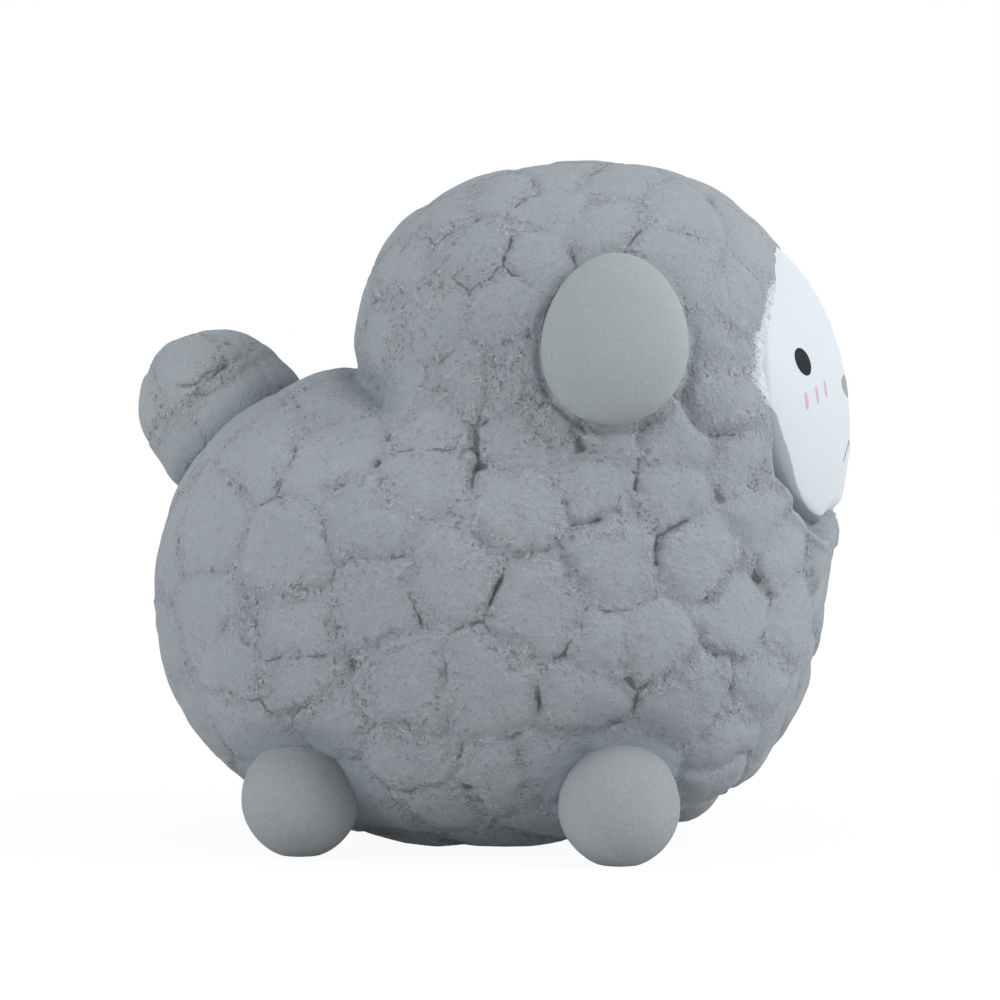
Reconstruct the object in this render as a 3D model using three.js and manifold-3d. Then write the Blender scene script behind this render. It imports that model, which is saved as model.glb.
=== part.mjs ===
// Squeezable foam sheep, standing. Millimetres: +X towards the nose, +Y towards the sheep's left,
// +Z up, the floor at Z = 0 and the origin under the middle of the toy.
import * as THREE from 'three';
import { ConvexHull } from 'three/addons/math/ConvexHull.js';
import { mergeVertices } from 'three/addons/utils/BufferGeometryUtils.js';
import Module from 'manifold-3d';

const solids = await Module();
solids.setup();

// Fits
const GAP = 0.3; // clearance between neighbouring pieces
const PRINT_THICKNESS = 0.4; // a face print stands this proud of its gap
const SOLE_DEPTH = 0.5; // how far a foot ball is cut flat on the floor
const REACH = 120; // larger than the toy, for cutting blocks

// Foam forms: centre, half-sizes and squareness, where 2 is a plain ellipsoid
const BODY_FORM = { centre: [0.5, 0, 35.7], half: [48.6, 41, 36.3], squareness: 2.3 };
const HEAD_FORM = { centre: [14.3, 0, 66.9], half: [32.9, 35, 31.6], squareness: 2.4 };
const CHEST_FORM = { centre: [19.7, 0, 49], half: [31.3, 34, 24.4], squareness: 2.2 };
const FOAM_FORMS = [BODY_FORM, HEAD_FORM, CHEST_FORM];
const CREASE_SOFTNESS = 1.6; // how widely the forms flow into one another
const CORE = new THREE.Vector3(4, 0, 45); // inner point that sees the whole foam surface

// Moulded wool: flat cobbles with grooves between them
const GROOVE_DEPTH = 1.2;
const SHOULDER = { inset: 0.22, level: -0.1 }; // ring inside the groove, as a share of the cobble
const CROWN_RISE = 0.4;
const COBBLE_SPACING = 11; // closest two cobbles that are filled in between the ones placed below
const FILL_TRIES = 1400;
// Cobbles on a flank, as distance forward and height; the other flank mirrors them
const FLANK_COBBLES = [
  // head, from the crown down to the ear and the nape
  [21, 87], [14, 84], [15, 90], [4, 84], [-1, 90], [7, 93], [14, 95], [22, 94], [32, 90], [32, 82],
  [39, 77], [38, 71], [38, 64], [-7, 82], [-1, 74], [-10, 73], [9, 76], [3, 66], [-7, 66], [10, 66],
  [12, 59], [0, 59], [17, 60], [24, 58], [32, 58], [44, 61], [22, 73],
  // shoulder and chest
  [0, 54], [11, 49], [22, 54], [33, 51], [41, 55], [43, 48], [36, 42], [25, 40], [46, 43], [47, 33],
  [40, 35], [30, 30], [24, 30], [34, 23], [43, 23], [39, 17], [36, 11], [44, 18],
  // flank, rump and belly
  [16, 35], [3, 40], [-8, 36], [-20, 42], [-19, 32], [-10, 46], [-15, 57], [-26, 57], [-16, 64],
  [-34, 46], [-34, 34], [-30, 27], [-19, 24], [-30, 18], [-15, 19], [-4, 24], [8, 24], [21, 23],
  [-5, 14], [9, 11], [-1, 7], [14, 12], [-11, 5],
];

// Neck: a band of foam that is squeezed when the head is pressed down
const NAPE = [-23.5, 0, 70.3]; // where the head meets the back
const NECK_TILT = THREE.MathUtils.degToRad(22); // the neck falls from the nape to the chin
const NECK_THICKNESS = 14;

// Face: a smooth bulge set into the wool
const FACE_OUTLINE = { height: 66.2, halfWidth: 21.7, halfHeight: 20.2, fullness: 0.12 };
const FACE_BULGE = { forward: 32.8, drop: 6.2, half: [20, 26, 30] }; // drop: below the outline's middle
const FACE_BACK = 40.5; // the flat back of the face, forward of the origin
const RECESS_WIDTH = 2.2; // bare foam round the face, sunk below the wool
const RECESS_FLOOR = { forward: 20, drop: 10.2, half: [30, 33, 43] };

// Face prints. The eyes and the nose are placed from the middle of the face's outline, the mouth
// under the nose, and the blush strokes under the eye, each further in and higher than the last
const EYE = { side: 15.7, rise: 2.7, halfWidth: 1.45, halfHeight: 1.95 };
const NOSE = { rise: -0.1, halfWidth: 4.6, halfHeight: 1.65 };
const MOUTH = { under: 6.35, height: 2.9, halfWidth: 4.2, bow: 0.75, stroke: 0.5 };
const BLUSH = { under: 2.25, outward: 0.75, step: 2.4, lift: 0.9, length: 2.5, stroke: 0.55, count: 3 };

// Ears, tail and feet
const EAR = { centre: [24.3, 34.8, 71.3], half: [9.9, 5.4, 11.7], taper: 0.1 };
const EAR_LEAN = THREE.MathUtils.degToRad(8); // the ear follows the head inwards at its top
const TAIL_RADIUS = 11.2;
const TAIL_CENTRE = [-41.7, 0, 64];
const TAIL_TILT = THREE.MathUtils.degToRad(-41); // leans back from upright
const TAIL_SUNK = 5.2; // the ball's middle stands this far off the back
const TAIL_ROOT = 3.6; // height of the root that bends
const TAIL_RINGS = [[0, 1], [55, 5], [106, 5], [150, 3]]; // lumps: degrees from the tip, how many
const FOOT_RADIUS = 8.3;
const FRONT_FOOT = [23.7, 27.2]; // forward and sideways
const REAR_FOOT = [-21.7, 25.2];

// Facets of the round forms, around and from pole to pole, and steps along outlines
const FACE_FACETS = [32, 24];
const RECESS_FACETS = [28, 20];
const EAR_FACETS = [18, 11];
const FOOT_FACETS = [14, 10];
const FACE_STEPS = 40;
const OVAL_STEPS = 24;
const MOUTH_STEPS = 16;
const BLUSH_STEPS = 4;
const SURFACE_HALVINGS = 44; // steps that close in on the foam surface
const WELD = 0.001; // corners nearer than this are one

const FOAM = { color: 0x969da2, roughness: 0.92, metalness: 0 };
const FACE_PAINT = { color: 0xe4ecf2, roughness: 0.6, metalness: 0 };
const EYE_INK = { color: 0x35393e, roughness: 0.5, metalness: 0 };
const NOSE_INK = { color: 0x8f9294, roughness: 0.55, metalness: 0 };
const MOUTH_INK = { color: 0x6d7276, roughness: 0.55, metalness: 0 };
const BLUSH_INK = { color: 0xdeafbe, roughness: 0.6, metalness: 0 };

const toy = new THREE.Group();
toy.name = 'foam_sheep';

// Joins equal corners and drops triangles without area, then makes a closed solid.
function toSolid(geometry) {
  const bare = geometry.clone();
  bare.deleteAttribute('normal');
  bare.deleteAttribute('uv');
  const welded = mergeVertices(bare, WELD);
  const kept = [];
  const index = welded.index.array;
  for (let i = 0; i < index.length; i += 3) {
    const [a, b, c] = [index[i], index[i + 1], index[i + 2]];
    if (a !== b && b !== c && c !== a) kept.push(a, b, c);
  }
  return new solids.Manifold(new solids.Mesh({
    numProp: 3,
    vertProperties: new Float32Array(welded.attributes.position.array),
    triVerts: new Uint32Array(kept),
  }));
}

// Keeps the main piece where a cut leaves crumbs.
function largest(solid) {
  return solid.decompose().reduce((best, piece) => (piece.volume() > best.volume() ? piece : best));
}

function addPiece(name, solid, finish) {
  const { vertProperties, triVerts, numProp } = largest(solid).getMesh();
  const corners = new Float32Array((vertProperties.length / numProp) * 3);
  for (let i = 0; i < corners.length; i += 1) {
    corners[i] = vertProperties[Math.floor(i / 3) * numProp + (i % 3)];
  }
  const geometry = new THREE.BufferGeometry();
  geometry.setAttribute('position', new THREE.BufferAttribute(corners, 3));
  geometry.setIndex(new THREE.BufferAttribute(new Uint32Array(triVerts), 1));
  geometry.computeVertexNormals();
  const mesh = new THREE.Mesh(geometry, new THREE.MeshStandardMaterial(finish));
  mesh.name = name;
  toy.add(mesh);
}

// A block as wide as the toy, in a frame that is tilted about the sideways axis.
function block(origin, tilt, xMin, xMax, zMin, zMax) {
  const shape = new THREE.BoxGeometry(xMax - xMin, REACH, zMax - zMin);
  shape.translate((xMin + xMax) / 2, 0, (zMin + zMax) / 2);
  shape.rotateY(tilt);
  shape.translate(...origin);
  return toSolid(shape);
}

function ellipsoid(centre, half, grow, facets) {
  const shape = new THREE.SphereGeometry(1, ...facets);
  shape.scale(...half.map((size) => size + grow));
  shape.translate(...centre);
  return toSolid(shape);
}

// A prism along +X from an outline drawn sideways and up.
function forwardPrism(outline, start) {
  const shape = new THREE.ExtrudeGeometry(outline, { depth: REACH, bevelEnabled: false });
  const forward = new THREE.Matrix4().makeBasis(
    new THREE.Vector3(0, 1, 0), new THREE.Vector3(0, 0, 1), new THREE.Vector3(1, 0, 0),
  );
  shape.applyMatrix4(forward);
  shape.translate(start, 0, 0);
  return toSolid(shape);
}

// Distance from a form's surface, negative inside.
function formDistance({ centre, half, squareness }, point) {
  const share = (axis, i) => Math.abs((point.getComponent(i) - centre[i]) / axis) ** squareness;
  const scaled = half.reduce((sum, axis, i) => sum + share(axis, i), 0) ** (1 / squareness);
  return (scaled - 1) * ((half[0] + half[1] + half[2]) / 3);
}

// The foam forms flow into each other like one casting.
function foamDistance(point) {
  const each = FOAM_FORMS.map((form) => formDistance(form, point));
  const nearest = Math.min(...each);
  const sum = each.reduce((total, d) => total + Math.exp((nearest - d) / CREASE_SOFTNESS), 0);
  return nearest - CREASE_SOFTNESS * Math.log(sum);
}

// How far along a line the foam surface lies.
function surfaceAlong(start, direction) {
  let inside = 0;
  let outside = REACH;
  const point = new THREE.Vector3();
  for (let i = 0; i < SURFACE_HALVINGS; i += 1) {
    const middle = (inside + outside) / 2;
    point.copy(start).addScaledVector(direction, middle);
    if (foamDistance(point) < 0) inside = middle;
    else outside = middle;
  }
  return inside;
}

function foamPoint(direction, level) {
  return CORE.clone().addScaledVector(direction, surfaceAlong(CORE, direction) + level);
}

// Directions of all cobbles from the core: the placed ones, then as many as fit between them.
function cobbleDirections() {
  const spots = [];
  const directions = [];
  const place = (spot) => {
    spots.push(spot);
    directions.push(spot.clone().sub(CORE).normalize());
  };
  const sideways = new THREE.Vector3(0, 1, 0);
  for (const [x, z] of FLANK_COBBLES) {
    const middle = new THREE.Vector3(x, 0, z);
    const side = surfaceAlong(middle, sideways);
    place(new THREE.Vector3(x, side, z));
    place(new THREE.Vector3(x, -side, z));
  }
  const golden = Math.PI * (1 + Math.sqrt(5));
  for (let i = 0; i < FILL_TRIES; i += 1) {
    const polar = Math.acos(1 - (2 * (i + 0.5)) / FILL_TRIES);
    const direction = new THREE.Vector3().setFromSphericalCoords(1, polar, golden * i);
    direction.set(direction.x, direction.z, direction.y);
    const spot = foamPoint(direction, 0);
    if (Math.abs(spot.y) < COBBLE_SPACING / 2) spot.y = 0;
    if (spot.y < 0 || spots.some((other) => other.distanceTo(spot) < COBBLE_SPACING)) continue;
    place(spot);
    if (spot.y > 0) place(new THREE.Vector3(spot.x, -spot.y, spot.z));
  }
  return directions;
}

// A closed skin of cobbles. Each one rises from its groove over a shoulder to its crown.
function cobbledSkin(directions, pointAt) {
  const hull = new ConvexHull().setFromPoints(directions);
  const rings = new Map(directions.map((direction) => [direction, []]));
  for (const face of hull.faces) {
    let edge = face.edge;
    do {
      rings.get(edge.head().point).push(face.normal.clone().normalize());
      edge = edge.next;
    } while (edge !== face.edge);
  }
  const corners = [];
  const across = new THREE.Vector3();
  const along = new THREE.Vector3();
  for (const [middle, ring] of rings) {
    across.set(-middle.z, middle.x, middle.y).cross(middle).normalize();
    along.crossVectors(middle, across);
    ring.sort((a, b) => Math.atan2(a.dot(along), a.dot(across)) - Math.atan2(b.dot(along), b.dot(across)));
    const groove = ring.map((corner) => pointAt(corner, -GROOVE_DEPTH));
    const shoulder = ring.map(
      (corner) => pointAt(corner.clone().lerp(middle, SHOULDER.inset).normalize(), SHOULDER.level),
    );
    const crown = pointAt(middle, CROWN_RISE);
    for (let i = 0; i < ring.length; i += 1) {
      const next = (i + 1) % ring.length;
      corners.push(groove[i], groove[next], shoulder[next]);
      corners.push(groove[i], shoulder[next], shoulder[i]);
      corners.push(shoulder[i], shoulder[next], crown);
    }
  }
  return toSolid(new THREE.BufferGeometry().setFromPoints(corners));
}

const cobbles = cobbleDirections();
const wool = cobbledSkin(cobbles, foamPoint);
const aboveFloor = block([0, 0, 0], 0, -REACH, REACH, 0, REACH);
const woolWithGap = cobbledSkin(cobbles, (direction, level) => foamPoint(direction, level + GAP));

function faceOutline(grow) {
  const outline = [];
  for (let i = 0; i < FACE_STEPS; i += 1) {
    const turn = (2 * Math.PI * i) / FACE_STEPS;
    const widen = 1 - FACE_OUTLINE.fullness * Math.cos(turn);
    outline.push(new THREE.Vector2(
      (FACE_OUTLINE.halfWidth + grow) * Math.sin(turn) * widen,
      FACE_OUTLINE.height + (FACE_OUTLINE.halfHeight + grow) * Math.cos(turn),
    ));
  }
  return new THREE.Shape(outline);
}

// An ellipsoid placed from the middle of the face's outline.
function faceForm({ forward, drop, half }, grow, facets) {
  return ellipsoid([forward, 0, FACE_OUTLINE.height - drop], half, grow, facets);
}

// The wool has a pocket for the face and a sunk band of bare foam round it.
const facePocket = forwardPrism(faceOutline(GAP), FACE_BACK - GAP);
const recessFloor = faceForm(RECESS_FLOOR, 0, RECESS_FACETS);
const faceRecess = forwardPrism(faceOutline(RECESS_WIDTH), 0).subtract(recessFloor);
const casting = wool.intersect(aboveFloor).subtract(facePocket).subtract(faceRecess);

// Body, neck and head are one casting, parted at the nape and along the neck.
const aboveBody = block(NAPE, NECK_TILT, 0, REACH, -NECK_THICKNESS, REACH);
addPiece('body', casting.subtract(aboveBody), FOAM);
const neckBand = block(NAPE, NECK_TILT, GAP, REACH, GAP - NECK_THICKNESS, -GAP);
addPiece('neck', casting.intersect(neckBand), FOAM);
const aboveNeck = block(NAPE, NECK_TILT, 0, REACH, 0, REACH);
addPiece('head', casting.intersect(aboveNeck), FOAM);

function faceBulge(grow) {
  return faceForm(FACE_BULGE, grow, FACE_FACETS);
}
addPiece('face', faceBulge(0).intersect(forwardPrism(faceOutline(0), FACE_BACK)), FACE_PAINT);

// A print follows the bulge of the face.
const printSkin = faceBulge(GAP + PRINT_THICKNESS).subtract(faceBulge(GAP));
function addPrint(name, outline, finish) {
  addPiece(name, printSkin.intersect(forwardPrism(outline, FACE_BACK)), finish);
}

function oval(side, height, halfWidth, halfHeight) {
  const rim = new THREE.EllipseCurve(side, height, halfWidth, halfHeight, 0, 2 * Math.PI);
  return new THREE.Shape(rim.getPoints(OVAL_STEPS).slice(1));
}

// The outline of a stroke of even width along a curve.
function strokeOutline(curve, width, steps) {
  const left = [];
  const right = [];
  for (let i = 0; i <= steps; i += 1) {
    const middle = curve.getPoint(i / steps);
    const heading = curve.getTangent(i / steps);
    const aside = new THREE.Vector2(-heading.y, heading.x).multiplyScalar(width / 2);
    left.push(middle.clone().add(aside));
    right.unshift(middle.clone().sub(aside));
  }
  return new THREE.Shape([...left, ...right]);
}

const eyeHeight = FACE_OUTLINE.height + EYE.rise;
const blushHeight = eyeHeight - EYE.halfHeight - BLUSH.under;
for (const [side, sign] of [['left', 1], ['right', -1]]) {
  addPrint(`eye_${side}`, oval(sign * EYE.side, eyeHeight, EYE.halfWidth, EYE.halfHeight), EYE_INK);
  for (let i = 0; i < BLUSH.count; i += 1) {
    const inward = BLUSH.count - 1 - i;
    const across = sign * (EYE.side + BLUSH.outward - inward * BLUSH.step);
    const top = blushHeight + inward * BLUSH.lift;
    const stroke = new THREE.LineCurve(
      new THREE.Vector2(across, top), new THREE.Vector2(across, top - BLUSH.length),
    );
    addPrint(`blush_${side}_${i + 1}`, strokeOutline(stroke, BLUSH.stroke, BLUSH_STEPS), BLUSH_INK);
  }
}
const noseHeight = FACE_OUTLINE.height + NOSE.rise;
addPrint('nose', oval(0, noseHeight, NOSE.halfWidth, NOSE.halfHeight), NOSE_INK);
const mouthTop = noseHeight - NOSE.halfHeight - MOUTH.under;
const mouthMiddle = mouthTop - MOUTH.height / 2;
const mouthBottom = mouthTop - MOUTH.height;
const mouthCurve = new THREE.SplineCurve([
  new THREE.Vector2(-MOUTH.halfWidth, mouthBottom),
  new THREE.Vector2(-MOUTH.halfWidth * MOUTH.bow, mouthMiddle),
  new THREE.Vector2(0, mouthTop),
  new THREE.Vector2(MOUTH.halfWidth * MOUTH.bow, mouthMiddle),
  new THREE.Vector2(MOUTH.halfWidth, mouthBottom),
]);
addPrint('mouth', strokeOutline(mouthCurve, MOUTH.stroke, MOUTH_STEPS), MOUTH_INK);

// An ear is a smooth egg, narrower at its top, that lies against the side of the head.
function earForm(sign) {
  const [x, y, z] = EAR.centre;
  const shape = new THREE.SphereGeometry(1, ...EAR_FACETS);
  const spots = shape.attributes.position;
  for (let i = 0; i < spots.count; i += 1) {
    const up = spots.getY(i);
    const narrow = 1 - EAR.taper * up;
    spots.setXYZ(i, spots.getX(i) * narrow * EAR.half[0], -spots.getZ(i) * EAR.half[1], up * EAR.half[2]);
  }
  shape.rotateX(sign * EAR_LEAN);
  shape.translate(x, sign * y, z);
  return toSolid(shape);
}
addPiece('ear_left', earForm(1).subtract(woolWithGap), FOAM);
addPiece('ear_right', earForm(-1).subtract(woolWithGap), FOAM);

// The tail is a lumpy ball; its root bends on the back.
const tailAxis = new THREE.Vector3(Math.sin(TAIL_TILT), 0, Math.cos(TAIL_TILT));
const tailMiddle = new THREE.Vector3(...TAIL_CENTRE);
const tailFoot = tailMiddle.clone().addScaledVector(tailAxis, -TAIL_SUNK).toArray();
function tailDirections() {
  const directions = [];
  for (const [fromTip, count] of TAIL_RINGS) {
    for (let i = 0; i < count; i += 1) {
      const direction = new THREE.Vector3(0, 0, 1);
      direction.applyAxisAngle(new THREE.Vector3(0, 1, 0), THREE.MathUtils.degToRad(fromTip));
      direction.applyAxisAngle(new THREE.Vector3(0, 0, 1), (2 * Math.PI * i) / count);
      directions.push(direction.applyAxisAngle(new THREE.Vector3(0, 1, 0), TAIL_TILT));
    }
  }
  return directions;
}
const tailBall = cobbledSkin(
  tailDirections(),
  (direction, level) => tailMiddle.clone().addScaledVector(direction, TAIL_RADIUS + level),
);
const tailRoot = block(tailFoot, TAIL_TILT, -REACH, REACH, -REACH, TAIL_ROOT);
const tailEnd = block(tailFoot, TAIL_TILT, -REACH, REACH, TAIL_ROOT + GAP, REACH);
addPiece('tail_root', tailBall.intersect(tailRoot).subtract(woolWithGap), FOAM);
addPiece('tail', tailBall.intersect(tailEnd).subtract(woolWithGap), FOAM);

// Feet are smooth balls under the belly, flat where they stand.
function addFoot(name, [x, y], sign) {
  const centre = [x, sign * y, FOOT_RADIUS - SOLE_DEPTH];
  const half = [FOOT_RADIUS, FOOT_RADIUS, FOOT_RADIUS];
  const ball = ellipsoid(centre, half, 0, FOOT_FACETS);
  addPiece(name, ball.intersect(aboveFloor).subtract(woolWithGap), FOAM);
}
addFoot('foot_front_left', FRONT_FOOT, 1);
addFoot('foot_front_right', FRONT_FOOT, -1);
addFoot('foot_rear_left', REAR_FOOT, 1);
addFoot('foot_rear_right', REAR_FOOT, -1);

export default toy;
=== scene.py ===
import math

import bmesh
import bpy
import numpy as np
from mathutils import Euler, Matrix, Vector


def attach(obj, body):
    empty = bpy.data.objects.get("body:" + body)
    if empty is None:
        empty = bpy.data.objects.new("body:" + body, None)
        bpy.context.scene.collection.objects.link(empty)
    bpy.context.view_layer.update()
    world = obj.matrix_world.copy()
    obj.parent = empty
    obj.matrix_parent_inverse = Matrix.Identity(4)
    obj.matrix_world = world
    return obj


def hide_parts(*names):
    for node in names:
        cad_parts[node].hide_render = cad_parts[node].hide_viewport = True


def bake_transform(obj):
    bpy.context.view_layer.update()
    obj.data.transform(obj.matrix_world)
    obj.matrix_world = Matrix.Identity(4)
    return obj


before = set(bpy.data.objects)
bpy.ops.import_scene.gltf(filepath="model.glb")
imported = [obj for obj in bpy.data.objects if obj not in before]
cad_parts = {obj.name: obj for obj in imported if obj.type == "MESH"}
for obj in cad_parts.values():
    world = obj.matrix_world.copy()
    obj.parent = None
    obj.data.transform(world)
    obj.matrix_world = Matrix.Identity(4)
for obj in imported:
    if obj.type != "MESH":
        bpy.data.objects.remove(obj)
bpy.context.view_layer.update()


# Wool: body, neck and head are one casting of slow-rising foam under a thin matt grey skin.
# The mould is cut with flat cobbles, and the skin sinks, cracks and pits along the grooves
# between them. The face has a sunk pocket with a raised lip of wool round it.
MM = 0.001
FOAM_FORMS = (  # centre, half-sizes and squareness of each swelling, in millimetres
    ((0.5, 0, 35.7), (48.6, 41, 36.3), 2.3),
    ((14.3, 0, 66.9), (32.9, 35, 31.6), 2.4),
    ((19.7, 0, 49), (31.3, 34, 24.4), 2.2),
)
CREASE_SOFTNESS = 1.6  # how far the creases between the swellings are rounded
CORE = np.array((4.0, 0.0, 45.0))  # a place inside, from which the skin is shaped along rays
REACH = 120.0  # no part of the skin is farther from the core
HALVINGS = 30


def form_distances(points):
    """How far points lie outside each swelling of the foam, in millimetres."""
    each = []
    for centre, half, squareness in FOAM_FORMS:
        share = (np.abs((points - centre) / half) ** squareness).sum(axis=1) ** (1 / squareness)
        each.append((share - 1) * (sum(half) / 3))
    return np.array(each)


def foam_distance(points):
    """How far points lie outside the smooth foam form, with soft creases."""
    each = form_distances(points)
    nearest = each.min(axis=0)
    return nearest - CREASE_SOFTNESS * np.log(np.exp((nearest - each) / CREASE_SOFTNESS).sum(axis=0))


def surface_along(starts, directions):
    """How far along each direction the smooth foam surface lies."""
    near = np.zeros(len(directions))
    far = np.full(len(directions), REACH)
    for _ in range(HALVINGS):
        middle = (near + far) / 2
        inside = foam_distance(starts + directions * middle[:, None]) < 0
        near = np.where(inside, middle, near)
        far = np.where(inside, far, middle)
    return near


def on_flank(marks):
    """Points on the smooth left flank, from their distances forward and heights."""
    middles = np.insert(np.array(marks, float), 1, 0.0, axis=1)
    sideways = np.tile((0.0, 1.0, 0.0), (len(middles), 1))
    return middles + sideways * surface_along(middles, sideways)[:, None]


def unit(vectors):
    """The same directions, each with a length of one."""
    return vectors / np.linalg.norm(vectors, axis=1)[:, None]


def from_stretch(points, start, end):
    """How far along a straight stretch points lie, 0 to 1, and how far away from it."""
    along = end - start
    share = np.clip(((points - start) @ along) / (along @ along), 0, 1)
    return share, np.linalg.norm(points - start - share[:, None] * along, axis=1)


def grain(points, size, seed):
    """Smooth noise from -1 to 1 with lumps about size millimetres wide."""
    count = 32
    lattice = np.random.default_rng(seed).uniform(-1, 1, (count, count, count))
    spot = points / size
    cell = np.floor(spot).astype(int)
    part = spot - cell
    part = part * part * (3 - 2 * part)
    total = np.zeros(len(points))
    for corner in np.ndindex(2, 2, 2):
        share = np.where(corner, part, 1 - part).prod(axis=1)
        total += share * lattice[tuple(((cell + corner) % count).T)]
    return total


def ramp(values, low, high):
    """0 below low, 1 above high, and a smooth rise between them."""
    share = np.clip((values - low) / (high - low), 0, 1)
    return share * share * (3 - 2 * share)


def grains(points, layers):
    """Layers of grain added up, from the height, lump size and seed of each."""
    return sum(height * grain(points, size, seed) for height, size, seed in layers)


def wander(points, layers):
    """How far a wavering edge strays forward, sideways and up."""
    return np.column_stack([
        grains(points, [(height, size, seed + axis) for height, size, seed in layers]) for axis in range(3)
    ])


def band(distance, width):
    """1 on a line, and a soft fall over about width millimetres on both sides of it."""
    return np.exp(-(distance / width) ** 2)


def fade(distance, width):
    """1 up to a distance of nought, then a soft fall over about width millimetres."""
    return band(np.maximum(distance, 0), width)


def rising(sizes, share):
    """A size that grows with another value: what it is at nought, and what each one adds."""
    return sizes[0] + sizes[1] * share


# The cobbles of the wool, and the regions where their grooves are bold, cracked or rough
FLANK_COBBLES = (  # distance forward and height; the other flank mirrors them
    (21, 87), (14, 84), (15, 90), (4, 84), (-1, 90), (7, 93), (14, 95), (22, 94), (32, 90),
    (32, 82), (39, 77), (38, 71), (38, 64), (-7, 82), (-1, 74), (-10, 73), (9, 76), (3, 66),
    (-7, 66), (10, 66), (12, 59), (0, 59), (17, 60), (24, 58), (32, 58), (44, 61), (22, 73),
    (0, 54), (11, 49), (22, 54), (33, 51), (41, 55), (43, 48), (36, 42), (25, 40), (46, 43),
    (47, 33), (40, 35), (30, 30), (24, 30), (34, 23), (43, 23), (39, 17), (36, 11), (44, 18),
    (16, 35), (3, 40), (-8, 36), (-20, 42), (-19, 32), (-10, 46), (-15, 57), (-26, 57),
    (-16, 64), (-34, 46), (-34, 34), (-30, 27), (-19, 24), (-30, 18), (-15, 19), (-4, 24),
    (8, 24), (21, 23), (-5, 14), (9, 11), (-1, 7), (14, 12), (-11, 5),
)
MIRROR = (1, -1, 1)
COBBLE_SPACING = 11.0
CORNER_ROUNDING = 0.4
FILL_TRIES = 1400  # places tried for the cobbles that fill the rest of the wool
NEAREST_COBBLES = 6
BATCH = 8000  # points worked on at a time
WOOL_WANDER = ((0.9, 5, 11), (0.35, 1.7, 14))  # height, lump size and seed of each layer of grain
REGIONS = (  # forward, height and radius; then depth of grooves, cracked share and roughness, 0 to 1
    (44, 32, 22, 1.0, 0.25, 0.15),
    (14, 32, 18, 0.6, 0.4, 0.7),
    (-6, 44, 14, 0.5, 0.35, 0.7),
    (-44, 40, 24, 0.2, 0.1, 0.1),
    (-22, 30, 14, 0.35, 0.35, 0.4),
    (-28, 58, 12, 0.3, 0.4, 0.45),
    (-8, 72, 16, 0.3, 0.3, 0.6),
    (10, 62, 12, 0.5, 0.4, 0.9),
    (12, 92, 16, 0.45, 0.9, 0.15),
    (32, 84, 14, 0.25, 0.15, 0.2),
    (38, 68, 10, 0.6, 0.4, 0.5),
    (0, 14, 14, 0.6, 0.5, 0.7),
)
ELSEWHERE = 0.4  # the same three values far from any region
ELSEWHERE_WEIGHT = 0.05


def cobble_directions():
    """The cobbles as directions from the core: the placed ones, then fillers between them."""
    placed = on_flank(FLANK_COBBLES)
    spots = list(placed) + list(placed * MIRROR)
    steps = np.arange(FILL_TRIES)
    polar = np.arccos(1 - 2 * (steps + 0.5) / FILL_TRIES)
    turn = math.pi * (1 + math.sqrt(5)) * steps
    tries = np.column_stack((np.sin(polar) * np.sin(turn), np.sin(polar) * np.cos(turn), np.cos(polar)))
    for spot in CORE + tries * surface_along(CORE, tries)[:, None]:
        if abs(spot[1]) < COBBLE_SPACING / 2:
            spot[1] = 0
        if spot[1] < 0 or np.linalg.norm(np.array(spots) - spot, axis=1).min() < COBBLE_SPACING:
            continue
        spots.append(spot)
        if spot[1] > 0:
            spots.append(spot * MIRROR)
    return unit(np.array(spots) - CORE)


def cobble_edges(directions, reach, cobbles):
    """Each point's own cobble, the next one, and its distance from the edge between them in
    millimetres: as it is, and with the corners of the cobbles rounded off."""
    own, other = np.empty((2, len(directions)), int)
    edge, rounded = np.empty((2, len(directions)))
    for part in np.array_split(np.arange(len(directions)), 1 + len(directions) // BATCH):
        nearness = directions[part] @ cobbles.T
        near = np.argpartition(-nearness, NEAREST_COBBLES - 1, axis=1)[:, :NEAREST_COBBLES]
        order = np.argsort(-np.take_along_axis(nearness, near, 1), axis=1)
        near = np.take_along_axis(near, order, 1)
        value = np.take_along_axis(nearness, near, 1)
        apart = np.linalg.norm(cobbles[near[:, :1]] - cobbles[near[:, 1:]], axis=2)
        away = (value[:, :1] - value[:, 1:]) / apart * reach[part, None]
        own[part] = near[:, 0]
        other[part] = near[np.arange(len(part)), 1 + away.argmin(axis=1)]
        edge[part] = away.min(axis=1)
        rounded[part] = -CORNER_ROUNDING * np.log(np.exp(-away / CORNER_ROUNDING).sum(axis=1))
    return own, other, edge, rounded


def wool_cobbles(points, reach):
    """The cobbles at each point of the wool, with edges that wander a little."""
    return cobble_edges(unit(points + wander(points, WOOL_WANDER) - CORE), reach, cobbles)


def region_values(points):
    """Depth of grooves, cracked share and roughness at each point, blended between the regions."""
    weight = np.full(len(points), ELSEWHERE_WEIGHT)
    total = np.full((3, len(points)), ELSEWHERE_WEIGHT * ELSEWHERE)
    for forward, height, radius, *values in REGIONS:
        near = band(np.hypot(points[:, 0] - forward, points[:, 2] - height), radius)
        weight += near
        total += np.outer(values, near)
    return total / weight


def vertex_places(mesh):
    places = np.empty(len(mesh.vertices) * 3)
    mesh.vertices.foreach_get("co", places)
    return places.reshape(-1, 3)


def set_places(mesh, places):
    mesh.vertices.foreach_set("co", places.ravel())
    mesh.update()


def set_mark(mesh, name, values):
    """Keeps a value for each point, for the material to read."""
    mark = mesh.attributes.new(name, "FLOAT", "POINT")
    mark.data.foreach_set("value", np.clip(values, 0, 1).astype(np.float32))


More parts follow.
